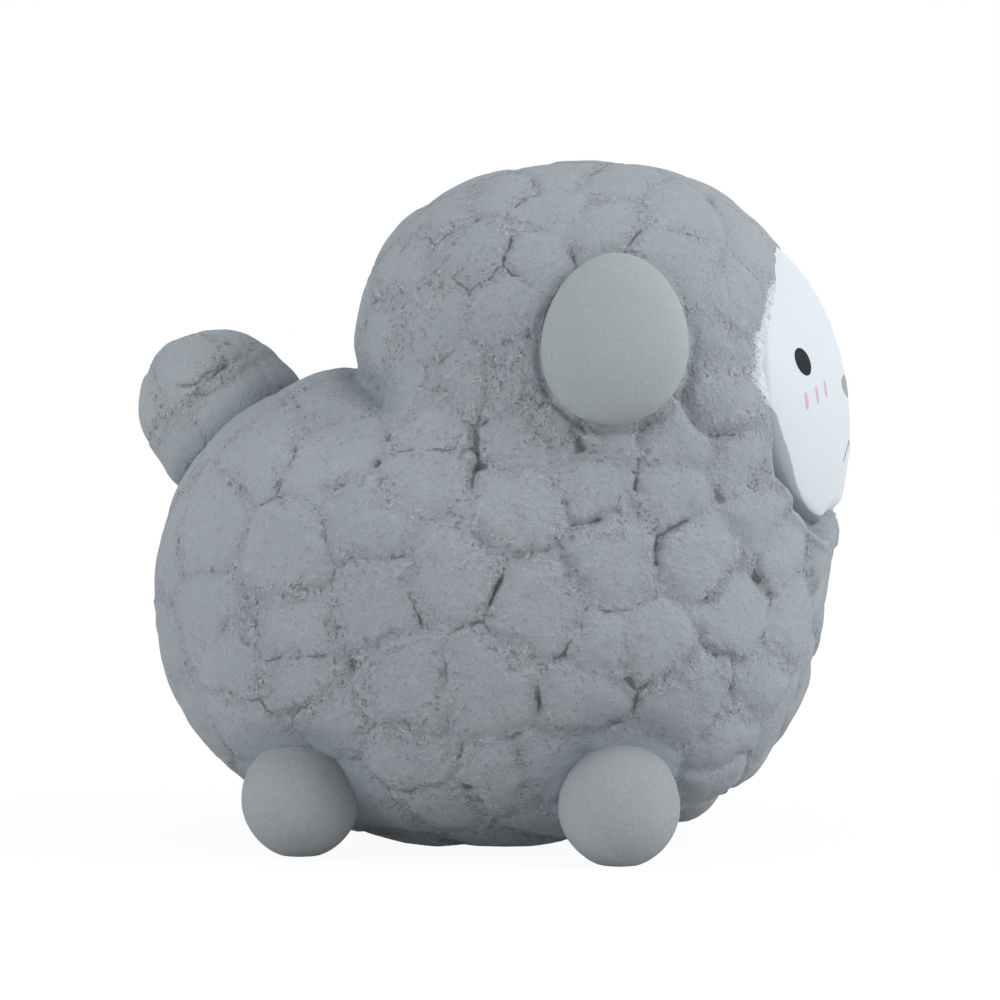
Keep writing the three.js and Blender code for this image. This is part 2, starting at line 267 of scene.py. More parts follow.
def finish_mesh(shape, name):
    """Turns a bmesh into a smooth-shaded object."""
    for face in shape.faces:
        face.smooth = True
    mesh = bpy.data.meshes.new(name)
    shape.to_mesh(mesh)
    shape.free()
    piece = bpy.data.objects.new(name, mesh)
    bpy.context.scene.collection.objects.link(piece)
    return piece


def ball_piece(name, fineness):
    shape = bmesh.new()
    bmesh.ops.create_icosphere(shape, subdivisions=fineness, radius=1)
    return finish_mesh(shape, name)


WOOL_FINENESS = 8
DRAWN_IN = 0.9  # points this near to an edge are drawn towards it, so that cracks come out sharp
DRAWN_SHARE = 0.65
COBBLE_SEED = 5
COBBLE_LEVEL = 0.22  # cobbles stand up or lie low by this at most
COBBLE_SLOPE = 0.035

wool = ball_piece("wool", WOOL_FINENESS)
rays = unit(vertex_places(wool.data))
reach = surface_along(CORE, rays)
skin = CORE + rays * reach[:, None]
cobbles = cobble_directions()
own, other, edge, _ = wool_cobbles(skin, reach)
toward = unit(cobbles[other] - cobbles[own])
drawn = np.maximum(DRAWN_SHARE * edge * (1 - edge / DRAWN_IN), 0)
rays = unit(skin + toward * drawn[:, None] - CORE)
reach = surface_along(CORE, rays)
skin = CORE + rays * reach[:, None]
forward, across, height = skin.T
own, _, edge, rounded = wool_cobbles(skin, reach)

lot = np.random.default_rng(COBBLE_SEED)
cobble_level = lot.uniform(-COBBLE_LEVEL, COBBLE_LEVEL, len(cobbles))
cobble_slope = lot.normal(0, COBBLE_SLOPE, (len(cobbles), 3))
cobble_middle = CORE + cobbles * surface_along(CORE, cobbles)[:, None]
plate = cobble_level[own] + ((skin - cobble_middle[own]) * cobble_slope[own]).sum(axis=1)
bold, cracked, rough = region_values(skin)


# Grooves, cracks and bitten patches along the edges of the cobbles
CRACKS = (  # half-width, depth and points of the deep cracks: distance forward and height
    (1.00, 1.6, ((-7.6, 57.9), (-8.3, 54.4), (-9.9, 52.4))),
    (0.95, 1.7, ((5.9, 59.7), (6.1, 55.8), (4.9, 52))),
    (0.55, 0.8, ((-26.9, 49), (-22.8, 50.8), (-19.4, 52.4), (-18.9, 54.1))),
    (0.45, 0.5, ((-18.9, 50.8), (-13.7, 51.3), (-11.6, 52.4))),
    (0.50, 0.7, ((-27, 48.6), (-26.7, 43.5), (-27.5, 39.4))),
    (0.45, 0.6, ((-23.8, 35.4), (-24.1, 32.7), (-24.7, 29.2))),
    (0.75, 1.2, ((-12.4, 27.5), (-10.7, 26.2), (-9.7, 24.1))),
    (0.70, 1.0, ((-4.5, 49.7), (-3.4, 47), (-4.2, 43.3))),
    (0.45, 0.6, ((-4.2, 49.7), (-1.3, 48), (3.4, 49))),
    (0.50, 0.9, ((-1.7, 35), (-1, 32.1))),
    (0.50, 0.5, ((-7.4, 28.2), (-3.1, 30.3), (-2.1, 31))),
    (0.50, 0.5, ((3, 30), (7.1, 31.8), (8.2, 34.4))),
    (0.50, 0.6, ((1, 29), (1.4, 24.3), (2.1, 20.2), (4.1, 15.7))),
    (0.85, 1.3, ((4.1, 15.7), (4.6, 12.4), (2.8, 6.7))),
    (0.60, 0.6, ((-9, 20.7), (-9, 17.9))),
    (0.45, 0.5, ((-14.5, 43.6), (-13.7, 40.9), (-11.5, 40.3), (-9.4, 41.4), (-5.9, 42.6))),
    (0.70, 0.5, ((-31.7, 23.3), (-33.3, 20))),
    (0.60, 0.6, ((9, 55.1), (13.7, 54.8), (15.7, 55.1))),
    (0.80, 1.4, ((9.8, 40), (8.5, 36.3))),
    (0.60, 1.0, ((16.5, 43.1), (17.9, 41.1), (18.9, 38.4), (20.6, 37.7))),
    (0.60, 0.9, ((19.2, 47), (22.7, 46.8), (25.8, 48.4))),
    (0.55, 0.9, ((11.7, 28.8), (14.3, 28.2), (17.6, 28.7), (20.8, 30.7))),
    (0.75, 1.3, ((14.1, 23.4), (14.3, 21.4), (13.2, 19.6))),
    (0.50, 0.6, ((13.2, 19.6), (9.7, 17.5), (6.9, 16.5))),
    (0.70, 0.9, ((28.3, 54.4), (27, 51), (26.7, 49.4))),
    (0.80, 1.1, ((31, 41.7), (31.4, 44.4), (33.5, 45.3), (36, 46.3))),
    (0.60, 0.8, ((30.4, 40.4), (32.9, 39), (36, 36.9), (38.1, 37.6))),
    (0.70, 0.9, ((35.7, 37.6), (36.3, 35.8))),
    (1.10, 1.2, ((37.2, 50.4), (38.5, 49), (41, 46.7), (41.6, 45.4))),
    (1.00, 0.9, ((40.6, 42.9), (41.5, 40.2), (43.9, 38.8), (44.7, 35.3))),
    (0.70, 0.9, ((21.3, 35.8), (22.8, 33.8), (25.3, 33.5), (28.5, 36.1))),
    (0.70, 0.9, ((24.4, 29.1), (27.7, 25), (30.8, 23.9), (34, 26.2))),
    (0.80, 0.8, ((28.3, 24.3), (28.4, 19.8))),
    (0.80, 1.0, ((39.6, 28.7), (39.7, 23.8), (41.1, 22.8))),
    (0.60, 0.7, ((36.8, 29.5), (38.7, 28))),
    (0.70, 0.9, ((9.2, 85.1), (9.8, 82.3), (11, 80.8), (15, 79.7))),
    (0.50, 0.8, ((20.8, 90.9), (22.8, 88.6), (25.1, 87.1), (26.4, 85.7), (26.1, 82.8))),
    (0.70, 1.2, ((18.3, 84.1), (18.9, 82.4), (17.8, 81.7))),
    (0.35, 0.3, ((0.1, 86.7), (4.4, 88.3), (9.3, 89.6))),
    (0.35, 0.3, ((9.1, 93.3), (12.8, 92.6))),
    (0.90, 1.4, ((28.8, 59.8), (29.5, 56.8))),
    (1.00, 1.6, ((18.9, 61.2), (19.7, 57.5))),
    (0.45, 0.5, ((15.7, 56.1), (17.6, 57.5), (19.6, 58.3))),
    (0.70, 1.0, ((33.4, 70.6), (35.1, 68.3), (37.1, 68.2))),
    (0.90, 0.5, ((20.6, 17.8), (24.8, 18.5), (28.5, 17.9))),
    (0.50, 0.5, ((-19.3, 15.1), (-16, 14.5), (-13.1, 11.9))),
)
CRACK_REACH = (0.9, 2.0)  # a long crack follows the cobble edges within this distance
CRACK_BLUNTNESS = 0.1  # share of its length at each end that doesn't taper any more
CRACK_FULLNESS = 0.6
CRACK_TIP = 0.4  # share of its width that is left at its ends
CRACK_GAP = 0.48  # the gap in a crack that is painted dark as shade, as a share of its half-width
CRACK_ELSEWHERE = 0.5  # half-width where no long crack runs
HAIRLINE_WIDTH = 0.4
HAIRLINE_GAP = 0.22
BROKEN_LEAST = 0.15  # share of a crack's depth that is left where it breaks off
GROOVE_WIDTH = (1.0, 1.2)  # in the faintest regions, and what the boldest add
STEP_FOOT = (0.1, 0.5)  # where a cobble's side starts, from its edge, likewise
STEP_HEAD = (0.7, 0.75)  # where it ends
BITTEN_REACH = (1.0, 2.6)  # from the edges in the smoothest regions, and what the roughest add
BITTEN_FADE = 2.2
BITTEN_PATCHES = ((1.3, 3.5, 22), (1.2, 9, 24))  # layers of grain
EDGE_RAGGED = ((0.25, 0.9, 20), (0.2, 2.6, 19))
EDGE_TORN = ((0.14, 1.0, 36), (0.1, 2.1, 37))
SIDE_RAGGED = ((0.3, 1.3, 27), (0.35, 4, 28))


def crack_marks(points):
    """Depth and half-width of the long crack near each point, on both flanks."""
    folded = np.column_stack((points[:, 0], np.abs(points[:, 1]), points[:, 2]))
    depth = np.zeros(len(points))
    width = np.full(len(points), CRACK_ELSEWHERE)
    for half_width, deepest, marks in CRACKS:
        line = on_flank(marks)
        total = len(line) - 1
        low, high = line.min(axis=0) - CRACK_REACH[1], line.max(axis=0) + CRACK_REACH[1]
        close = np.flatnonzero(((folded > low) & (folded < high)).all(axis=1))
        for number in range(total):
            share, away = from_stretch(folded[close], line[number], line[number + 1])
            run = np.clip((number + share) / total, CRACK_BLUNTNESS, 1 - CRACK_BLUNTNESS)
            taper = np.sin(math.pi * run) ** CRACK_FULLNESS
            here = deepest * taper * (1 - ramp(away, *CRACK_REACH))
            tapered = half_width * (CRACK_TIP + (1 - CRACK_TIP) * taper)
            width[close] = np.where(here > depth[close], tapered, width[close])
            depth[close] = np.maximum(depth[close], here)
    return depth, width


ragged = edge + grains(skin, EDGE_RAGGED)
torn = edge + grains(skin, EDGE_TORN)
chew = ramp(rising(BITTEN_REACH, rough) + grains(skin, BITTEN_PATCHES) - edge, 0, BITTEN_FADE)
valley = fade(rounded, rising(GROOVE_WIDTH, bold))
step = 1 - ramp(rounded + grains(skin, SIDE_RAGGED), rising(STEP_FOOT, bold), rising(STEP_HEAD, bold))
step *= ramp(grain(skin, 6, 29) + 0.9 * bold, -0.2, 0.5)
broken = BROKEN_LEAST + (1 - BROKEN_LEAST) * ramp(grain(skin, 2.2, 25), -0.25, 0.2)
hairline = broken * ramp(grain(skin, 8, 21) + 1.2 * cracked - 0.5, -0.1, 0.3)
thin = hairline * (1 - ramp(ragged, 0.0, HAIRLINE_WIDTH))
crack_depth, crack_width = crack_marks(skin)
deep = broken * crack_depth * (1 - ramp(ragged / crack_width, 0.25, 1.0))
gap = np.maximum(CRACK_GAP * crack_width * ramp(crack_depth * broken, 0.1, 0.8),
                 HAIRLINE_GAP * ramp(hairline, 0.3, 0.9))
pits = ramp(grain(skin, 0.95, 23), 0.1, 0.6) * chew
dents = ramp(grain(skin, 2.3, 26), 0.4, 0.8)


# Creases where the ears, the feet and the tail grow out of the wool
FLANK = 18.0  # ears and cheeks are farther than this from the middle
FAR = 99.0  # distance of all that lies elsewhere
EAR_CENTRE = (24.3, 34.8, 71.3)
EAR_HALF = (9.9, 5.4, 11.7)
EAR_TAPER = 0.1
EAR_GROOVE = (0.2, 0.8)  # its middle, outside the ear's outline, and its half-width
EAR_HOLLOW = 3.0  # width of the hollow beside the groove
EAR_BACK_LINE = (0.2, 0.3)  # the line of painted shade behind the ear: outside its outline, and half-width
EAR_FRONT_LINE = (0.4, 0.25)  # the one in front of it, likewise
EAR_FRONT_SPAN = (67, 79)  # lowest and highest place of the line in front
EAR_LINE_FADE = 3
FOOT_RADIUS = 8.3
FOOT_RISE = 7.8
FEET = {"front": (23.7, 27.2), "rear": (-21.7, 25.2)}  # forward and sideways
FOOT_NICHE = {"front": (0.0, 2.6), "rear": (3.0, 4.2)}  # hollow above a foot: forward of it, and depth
NICHE_OFFSET = 5  # the middle of that hollow is this far out and up from the foot's
NICHE_RADIUS = 9
FOOT_FILLET = (0.3, 1.2)  # where the fillet round a foot starts to fall, and over what width
FOOT_SHADE = 3.5
TAIL_RADIUS = 11.2
TAIL_CENTRE = np.array((-41.7, 0.0, 64.0))
TAIL_SHADE = (0.5, 2.0)  # where the shade round the tail starts to fade, and over what width


def ear_rim(points):
    """Distance outside an ear's outline in millimetres, seen from the side."""
    height = (points[:, 2] - EAR_CENTRE[2]) / EAR_HALF[2]
    wide = (points[:, 0] - EAR_CENTRE[0]) / (EAR_HALF[0] * (1 - EAR_TAPER * np.clip(height, -1, 1)))
    return (np.hypot(height, wide) - 1) * (EAR_HALF[0] + EAR_HALF[2]) / 2


ear_out = np.where(np.abs(across) > FLANK, ear_rim(skin), FAR)
ahead_of_ear, above_ear = forward - EAR_CENTRE[0], height - EAR_CENTRE[2]
ear_front = ramp(ahead_of_ear, 2, 7)
ear_back = ramp(4 - ahead_of_ear, 0, 6) * ramp(above_ear, 0, 4)
ear_low = ramp(8 - above_ear, 0, 12) * (1 - 0.8 * ear_front * ramp(-above_ear, 1, 5))
ear_groove = band(ear_out - EAR_GROOVE[0], EAR_GROOVE[1])
ear_groove *= 0.25 + 0.75 * np.maximum(ear_low, 0.6 * ear_back)
ear_hollow = ear_low * fade(ear_out, EAR_HOLLOW)
back_line = EAR_BACK_LINE[1] * ear_back * ramp(grain(skin, 3, 30), -0.5, 0.1)
front_line = EAR_FRONT_LINE[1] * ear_front * ramp(grain(skin, 2.5, 38), -0.4, 0.1)
front_line *= ramp(height - EAR_FRONT_SPAN[0], 0, EAR_LINE_FADE)
front_line *= ramp(EAR_FRONT_SPAN[1] - height, 0, EAR_LINE_FADE)
ear_line = np.maximum(back_line - np.abs(ear_out - EAR_BACK_LINE[0]),
                      front_line - np.abs(ear_out - EAR_FRONT_LINE[0]))

foot_niche, foot_fillet, foot_shade = np.zeros((3, len(skin)))
for row, (foot_forward, foot_side) in FEET.items():
    niche_ahead, niche_depth = FOOT_NICHE[row]
    for sign in (1, -1):
        middle = np.array((foot_forward, sign * foot_side, FOOT_RISE))
        niche = middle + (niche_ahead, sign * NICHE_OFFSET, NICHE_OFFSET)
        pressed = niche_depth * band(np.linalg.norm(skin - niche, axis=1), NICHE_RADIUS)
        foot_niche = np.maximum(foot_niche, pressed)
        away = np.linalg.norm(skin - middle, axis=1) - FOOT_RADIUS
        fillet = np.exp(-np.maximum(away - FOOT_FILLET[0], 0) / FOOT_FILLET[1])
        foot_fillet = np.maximum(foot_fillet, fillet)
        foot_shade = np.maximum(foot_shade, fade(away, FOOT_SHADE))
from_tail = np.linalg.norm(skin - TAIL_CENTRE, axis=1) - TAIL_RADIUS + 0.6 * grain(skin, 3, 39)
tail_foot_shade = fade(from_tail - TAIL_SHADE[0], TAIL_SHADE[1])
chew = np.maximum(chew * (1 - foot_fillet), tail_foot_shade)


# The crease behind the nape, and the round cobble on the cheek
NAPE_WIDTH = 2.4
NAPE_START = (2, 11)  # the crease deepens between these distances behind the middle
DOME = (38, 63.6, 5.2)  # the round cobble on the cheek: forward, height and radius
DOME_NARROWNESS = 1.15
DOME_RING = (0.2, 0.7)  # the groove round it: outside its outline, and half-width
DOME_LINE = (0.1, 0.22)  # the line of painted shade in that groove, likewise

in_body, in_head, _ = form_distances(skin)
nape_crease = band(in_head - in_body, NAPE_WIDTH) * ramp(-forward, *NAPE_START)
from_dome = np.hypot(DOME_NARROWNESS * (forward - DOME[0]), height - DOME[1])
from_dome = np.where(np.abs(across) > FLANK, from_dome, FAR)
dome_out = from_dome - DOME[2]
dome = np.sqrt(np.clip(1 - (from_dome / DOME[2]) ** 2, 0, 1))
dome_side = ramp(DOME[0] + 2 - forward + 0.6 * (DOME[1] - height), 0, 5)
dome_ring = (0.35 + 0.65 * dome_side) * band(dome_out - DOME_RING[0], DOME_RING[1])
dome_line = DOME_LINE[1] * dome_side * ramp(grain(skin, 3, 35), -0.5, 0.1) - np.abs(dome_out - DOME_LINE[0])
off_dome = ramp(dome_out, -0.3, 1.2)
for relief in (plate, step, valley, thin, deep, gap):
    relief *= off_dome


# All of that relief added up, as millimetres above the smooth form
SWELLS = ((39, 8.5, 7, 1.7), (-15, 60.5, 5, -1.6), (43.5, 60, 5.5, 1.8))  # forward, height, radius, rise
SKIN_LEVEL = 0.3
SKIN_LUMPS = ((0.25, 15, 31), (0.1, 2.4, 32))
BITTEN_LUMPS = ((0.2, 1.0, 33), (0.24, 1.9, 34))
DENT_DEPTH = 0.12
PIT_DEPTH = 0.14
PLATE_SHARE = (0.35, 0.65)  # in the faintest regions, and what the boldest add
PILLOW_DEPTH = (0.14, 0.34)  # how far a cobble's top falls away to its edge, likewise
PILLOW_WIDTH = 3.5
STEP_DEPTH = (0.08, 0.14)
GROOVE_DEPTH = 0.2
HAIRLINE_DEPTH = 0.15
CRACK_SHARE = 0.6  # share of a crack's depth by which the skin sinks
EAR_GROOVE_DEPTH = 0.8
EAR_HOLLOW_DEPTH = 0.25
NAPE_DEPTH = 2.4
FILLET_RISE = 0.8
DOME_RISE = (0.8, 0.2)  # at its middle, and what each millimetre below that adds
DOME_RING_DEPTH = 0.5

level = SKIN_LEVEL + grains(skin, SKIN_LUMPS) - DENT_DEPTH * dents
level += chew * grains(skin, BITTEN_LUMPS) - PIT_DEPTH * pits
level += rising(PLATE_SHARE, bold) * plate * ramp(rounded, 0.0, 0.8)
level -= rising(PILLOW_DEPTH, bold) * (1 - ramp(rounded, 0.0, PILLOW_WIDTH))
level -= rising(STEP_DEPTH, bold) * step + GROOVE_DEPTH * bold * valley
level -= HAIRLINE_DEPTH * thin + CRACK_SHARE * deep
level -= EAR_GROOVE_DEPTH * ear_groove + EAR_HOLLOW_DEPTH * ear_hollow + NAPE_DEPTH * nape_crease
level += FILLET_RISE * foot_fillet - foot_niche
level += dome * rising(DOME_RISE, DOME[1] - height) - DOME_RING_DEPTH * dome_ring
for swell_forward, swell_height, radius, rise in SWELLS:
    level += rise * band(np.hypot(forward - swell_forward, height - swell_height), radius)


# The pocket for the face: its lip is open at the cheeks, and a tuft of wool stands before the chin
FRONT = 25  # the pocket is ahead of this
FACE_HEIGHT = 66.2
FACE_HALF = (21.7, 20.2)  # half-width and half-height of the face's outline
FACE_FULLNESS = 0.12  # the outline is wider at the chin than at the brow
RECESS_TOP = 62.5  # the pocket's lip opens below this height
RECESS_FADE = 9
RECESS_WIDTH = 3.3
JAW = (50, 0.7)  # below this height the pocket is wider by this
CHEEK_NOTCH = (61.5, 2.2, 0.8)  # height, half-width and depth
CHIN = (6.0, 3.0, 10.5)  # the tuft: rise, and half-widths of its top and foot
CHIN_TOP = 53
CHIN_DEPTH = 0.6
CHIN_FADE = 3
LIP_OVERLAP = 0.3  # the wool laps over the face's edge by this above the opening
LIP_RISE = (0.1, 0.5)  # above the opening, and what is added below
LIP_PLACE = (0.5, 0.6)  # outside the pocket's edge, and half-width
POCKET_EDGE = (-0.45, 0.05)  # the pocket's wall falls between these distances from its edge
RECESS_FLOOR = ((20, 0, 56), (29.6, 32.6, 42.6))  # centre and half-sizes
UNDER_FACE = (3.0, 0.5, 3.5)  # the floor sinks by this, between these distances inside the outline


def face_rim(points):
    """Distance outside the face's outline in millimetres, seen from the front; negative inside."""
    tall = (points[:, 2] - FACE_HEIGHT) / FACE_HALF[1]
    wide = points[:, 1] / (FACE_HALF[0] * (1 - FACE_FULLNESS * np.clip(tall, -1, 1)))
    return (np.hypot(tall, wide) - 1) * (sum(FACE_HALF) / 2)


def ellipsoid_along(start, directions, centre, half):
    """How far from an inner start each direction meets an ellipsoid."""
    origin = (start - np.array(centre)) / half
    heading = directions / half
    a = (heading * heading).sum(axis=1)
    b = heading @ origin
    return (-b + np.sqrt(b * b - a * (origin @ origin - 1))) / a


front = forward > FRONT
face_out = face_rim(skin)
low_lip = ramp(RECESS_TOP - height, 0, RECESS_FADE)
chin = (1 - ramp(np.abs(across), *CHIN[1:])) * ramp(CHIN_TOP - height, 0, CHIN_FADE)
rim = np.where(front, face_out, FAR) + LIP_OVERLAP * (1 - low_lip) + CHIN[0] * chin
rim -= (RECESS_WIDTH + JAW[1] * ramp(JAW[0] - height, 0, CHIN_FADE)) * low_lip
rim -= CHEEK_NOTCH[2] * band(height - CHEEK_NOTCH[0], CHEEK_NOTCH[1])
rim += 0.12 * grain(skin, 1.2, 41) + 0.15 * low_lip * grain(skin, 4, 45)
lip = (1 - chin) * band(rim - LIP_PLACE[0], LIP_PLACE[1]) * (rim > 0)
level += rising(LIP_RISE, low_lip) * lip - CHIN_DEPTH * chin * front
floor_reach = ellipsoid_along(CORE, rays, *RECESS_FLOOR) + 0.05 * grain(skin, 2, 42)
floor_reach -= UNDER_FACE[0] * ramp(-face_out, *UNDER_FACE[1:]) * front
sunk = np.where(front, 1 - ramp(rim, *POCKET_EDGE), 0)
outer_reach = reach + level
sculpted = CORE + rays * (outer_reach + np.minimum(floor_reach - outer_reach, 0) * sunk)[:, None]
sculpted[:, 2] = np.maximum(sculpted[:, 2], 0.0)
set_places(wool.data, sculpted * MM)


# Marks on the skin for its material: painted shade in the creases and cracks, the mist of paint and worn
# patches
GAP_EDGE = 0.08  # a gap is narrower by this than its crack
CRACK_SPAN = 1.6  # millimetres from no crack mark to a full one
SPRAY_REACH = (1.45, 0.5)  # cover at the pocket's edge, and what each millimetre away from it takes
SPRAY_GRAIN = ((0.15, 0.8, 43), (0.35, 2.5, 44))
SPRAY_SPAN = (60, 83)  # lowest and highest place of the mist beside the face
SPRAY_FADE = 6
PALE_LIP_EDGE = (57, 0.55)  # below this height the edge of the lip is paler, by this share of the spray's white
WORN = (0.16, 0.36)  # wear between the bitten patches: in the smoothest regions, and more in the roughest
SMOOTHED = 0.8  # share of the wear that is missing in the pocket and round the feet


def crack_mark(inside):
    """Half at the edge of a crack, and more farther inside it."""
    return 0.5 + inside / CRACK_SPAN


def painted_shade_mark(creases):
    """The painted shade of all creases together, from how dark each kind is, and where it is."""
    return sum(darkness * where for darkness, where in creases.values())


# Painted shade: the colour is darkened in hairlines, cracks, pits, grooves, the pocket and the nape, and
# round the ears, the cheek, the feet and the tail, where shade falls
set_mark(wool.data, "painted_shade", painted_shade_mark({
    "hairlines": (0.1, thin * (1 - sunk)),
    "cracks": (0.3, ramp(deep, 0.05, 0.9)),
    "pits": (0.04, pits),
    "grooves": (0.1, bold * valley ** 2),
    "round the ears": (0.2, ear_groove),
    "round the cheek": (0.12, dome_ring),
    "in the pocket": (0.2, sunk * low_lip),
    "round the feet": (0.9, foot_shade),
    "at the nape": (0.8, nape_crease),
    "round the tail": (0.5, tail_foot_shade),
}))
# The crack mark paints shade dark into the gaps of the cracks, and along the lines beside the ears and
# round the cheek's cobble
inside_crack = np.maximum.reduce((gap - GAP_EDGE - torn, ear_line, dome_line))
set_mark(wool.data, "crack", crack_mark(inside_crack) * (1 - sunk))
spray = SPRAY_REACH[0] - SPRAY_REACH[1] * rim + grains(sculpted, SPRAY_GRAIN)
spray *= ramp(sculpted[:, 2] - SPRAY_SPAN[0], 0, SPRAY_FADE)
spray *= ramp(SPRAY_SPAN[1] - sculpted[:, 2], 0, SPRAY_FADE)
pale_lip_edge = PALE_LIP_EDGE[1] * (1 - chin) * band(rim - 0.1, 0.2) * ramp(PALE_LIP_EDGE[0] - sculpted[:, 2], 0, 4)
set_mark(wool.data, "paint", np.where(front, np.maximum(spray, pale_lip_edge), 0))
worn = rising(WORN, rough)
worn += (1 - worn) * chew
set_mark(wool.data, "chew", worn * (1 - SMOOTHED * sunk) * (1 - SMOOTHED * foot_fillet))


# The skin's material: grey foam, darker in its pores, with painted shade in its creases, cracks and pits,
# painted highlights on its flakes and glints on its grit
FOAM_GREY = (0.318, 0.356, 0.389)
SPRAY_WHITE = (0.7, 0.76, 0.8)
PORE_DARK = (0.15, 0.175, 0.205)
PORE_LIGHT = (0.62, 0.66, 0.7)
# painted highlights: a lighter colour on raised flakes, and near-white glints on grit
FLAKE_HIGHLIGHT = (0.6, 0.64, 0.68)
GRIT_GLINT = (0.7, 0.74, 0.78)
# painted shade: a blue-grey for the creases, and a deep grey for cracks, specks and holes
PAINTED_SHADE_BLUE = (0.15, 0.19, 0.25)
PIT_AND_CRACK_SHADE = (0.1, 0.115, 0.13)
WHITE = (1.0, 1.0, 1.0)
BLACK = (0.0, 0.0, 0.0)
FOAM_RELIEF = 0.7
FOAM_SHEEN = 0.3


def add_node(tree, kind, inputs=None, **settings):
    """A shader node; each input takes a plain value or another node's socket."""
    made = tree.nodes.new(kind)
    for name, value in settings.items():
        setattr(made, name, value)
    for name, value in (inputs or {}).items():
        if isinstance(value, bpy.types.NodeSocket):
            tree.links.new(value, made.inputs[name])
        else:
            made.inputs[name].default_value = value
    return made


def mix_colour(tree, share, first, second):
    """The colour between two others, each a socket or a plain colour."""
    first, second = ((*side, 1.0) if isinstance(side, tuple) else side for side in (first, second))
    made = add_node(tree, "ShaderNodeMix", {0: share, 6: first, 7: second}, data_type="RGBA")
    return made.outputs[2]


def calculate(tree, operation, first, second=0.0):
    return add_node(tree, "ShaderNodeMath", {0: first, 1: second}, operation=operation).outputs[0]


def new_group(name, inputs, outputs):
    """An empty node group with its named sockets."""
    tree = bpy.data.node_groups.new(name, "ShaderNodeTree")
    for title, kind in inputs:
        tree.interface.new_socket(title, in_out="INPUT", socket_type="NodeSocket" + kind)
    for title, kind in outputs:
        tree.interface.new_socket(title, in_out="OUTPUT", socket_type="NodeSocket" + kind)
    return tree, tree.nodes.new("NodeGroupInput").outputs, tree.nodes.new("NodeGroupOutput").inputs


def stretch(tree, value, low, high, first=0.0, last=1.0):
    """A value between low and high, spread from first to last."""
    made = add_node(tree, "ShaderNodeMapRange", {"Value": value, "From Min": low, "From Max": high,
                                                 "To Min": first, "To Max": last})
    return made.outputs[0]


def foam_skin_group():
    """Matt foam skin: uneven grey and fine pores, with painted shade in creases, cracks and pits, and
    painted highlights on the flakes and grit of bitten patches.
    """
    tree, given, out = new_group(
        "foam_skin",
        (("Place", "Vector"), ("Tone", "Color"), ("Painted_Shade", "Float"), ("Crack", "Float"),
         ("Chew", "Float")),
        (("Color", "Color"), ("Roughness", "Float"), ("Height", "Float")),
    )
    place = given["Place"]

    def noise(scale, detail, roughness=0.5):
        return add_node(tree, "ShaderNodeTexNoise", {"Vector": place, "Scale": scale, "Detail": detail,
                                                     "Roughness": roughness}).outputs[0]

    def product(*values):
        total = values[0]
        for value in values[1:]:
            total = calculate(tree, "MULTIPLY", total, value)
        return total

    chew, painted_shade = given["Chew"], given["Painted_Shade"]
    cloud, lumps, crumbs = noise(70.0, 5.0), noise(600.0, 6.0, 0.65), noise(1300.0, 5.0, 0.65)
    pores, patch = noise(2600.0, 2.0), stretch(tree, noise(330.0, 3.0), 0.44, 0.58)
    flakes = product(stretch(tree, noise(850.0, 4.0, 0.55), 0.45, 0.6), chew)
    chips = product(stretch(tree, noise(1700.0, 3.0, 0.55), 0.45, 0.6), chew)
    specks = product(stretch(tree, noise(1900.0, 2.0), 0.6, 0.67), patch, chew)
    glints = product(stretch(tree, noise(2300.0, 2.0), 0.62, 0.7), patch, chew)
    spots = stretch(tree, noise(240.0, 2.0), 0.42, 0.56)
    holes = product(stretch(tree, noise(950.0, 2.5), 0.61, 0.67), spots, chew)
    frayed = calculate(tree, "ADD", given["Crack"], stretch(tree, crumbs, 0.3, 0.7, -0.12, 0.12))
    cracked = stretch(tree, frayed, 0.5, 0.57)
    light = mix_colour(tree, 0.07, given["Tone"], WHITE)
    dark = mix_colour(tree, 0.1, given["Tone"], BLACK)
    tone = mix_colour(tree, cloud, dark, light)
    for share, colour in (
        (stretch(tree, pores, 0.4, 0.75, 0.0, 0.2), PORE_DARK),
        (stretch(tree, pores, 0.3, 0.18, 0.0, 0.3), PORE_LIGHT),
        (product(flakes, 0.16), FLAKE_HIGHLIGHT),
        (product(glints, 0.65), GRIT_GLINT),
        (product(painted_shade, 0.35), PAINTED_SHADE_BLUE),
    ):
        tone = mix_colour(tree, share, tone, colour)
    # Painted shade: cracks, specks and holes are darkened towards a deep grey, as if shade filled them
    shade = calculate(tree, "MAXIMUM", product(cracked, 0.52), product(specks, 0.5))
    shade = calculate(tree, "MAXIMUM", shade, product(holes, 0.4))
    tree.links.new(mix_colour(tree, shade, tone, PIT_AND_CRACK_SHADE), out["Color"])
    tree.links.new(stretch(tree, lumps, 0.0, 1.0, 0.72, 0.95), out["Roughness"])
    height = product(pores, calculate(tree, "ADD", 0.2, product(chew, 0.25)), 0.16)
    for value, amount in ((product(lumps, chew), 0.5), (product(crumbs, chew), 0.2), (flakes, 0.22),
                          (chips, 0.1), (holes, -0.4), (specks, -0.3), (glints, 0.1), (cracked, -0.3)):
        height = calculate(tree, "ADD", height, product(value, amount))
    tree.links.new(height, out["Height"])
    return tree


def surface_material(name):
    """A material whose Principled shader is ready to be linked."""
    material = bpy.data.materials.new(name)
    material.use_nodes = True
    tree = material.node_tree
    return material, tree, tree.nodes["Principled BSDF"]


def object_place(tree):
    """Where on the piece a point is."""
    return add_node(tree, "ShaderNodeTexCoord").outputs["Object"]


def noise_over(tree, scale, detail):
    """Noise over the piece, from 0 to 1."""
    made = add_node(tree, "ShaderNodeTexNoise", {"Vector": object_place(tree), "Scale": scale,
                                                 "Detail": detail})
    return made.outputs[0]


def mark_on(tree, name):
    """A value that is kept for each point of the mesh."""
    return add_node(tree, "ShaderNodeAttribute", attribute_name=name).outputs["Fac"]


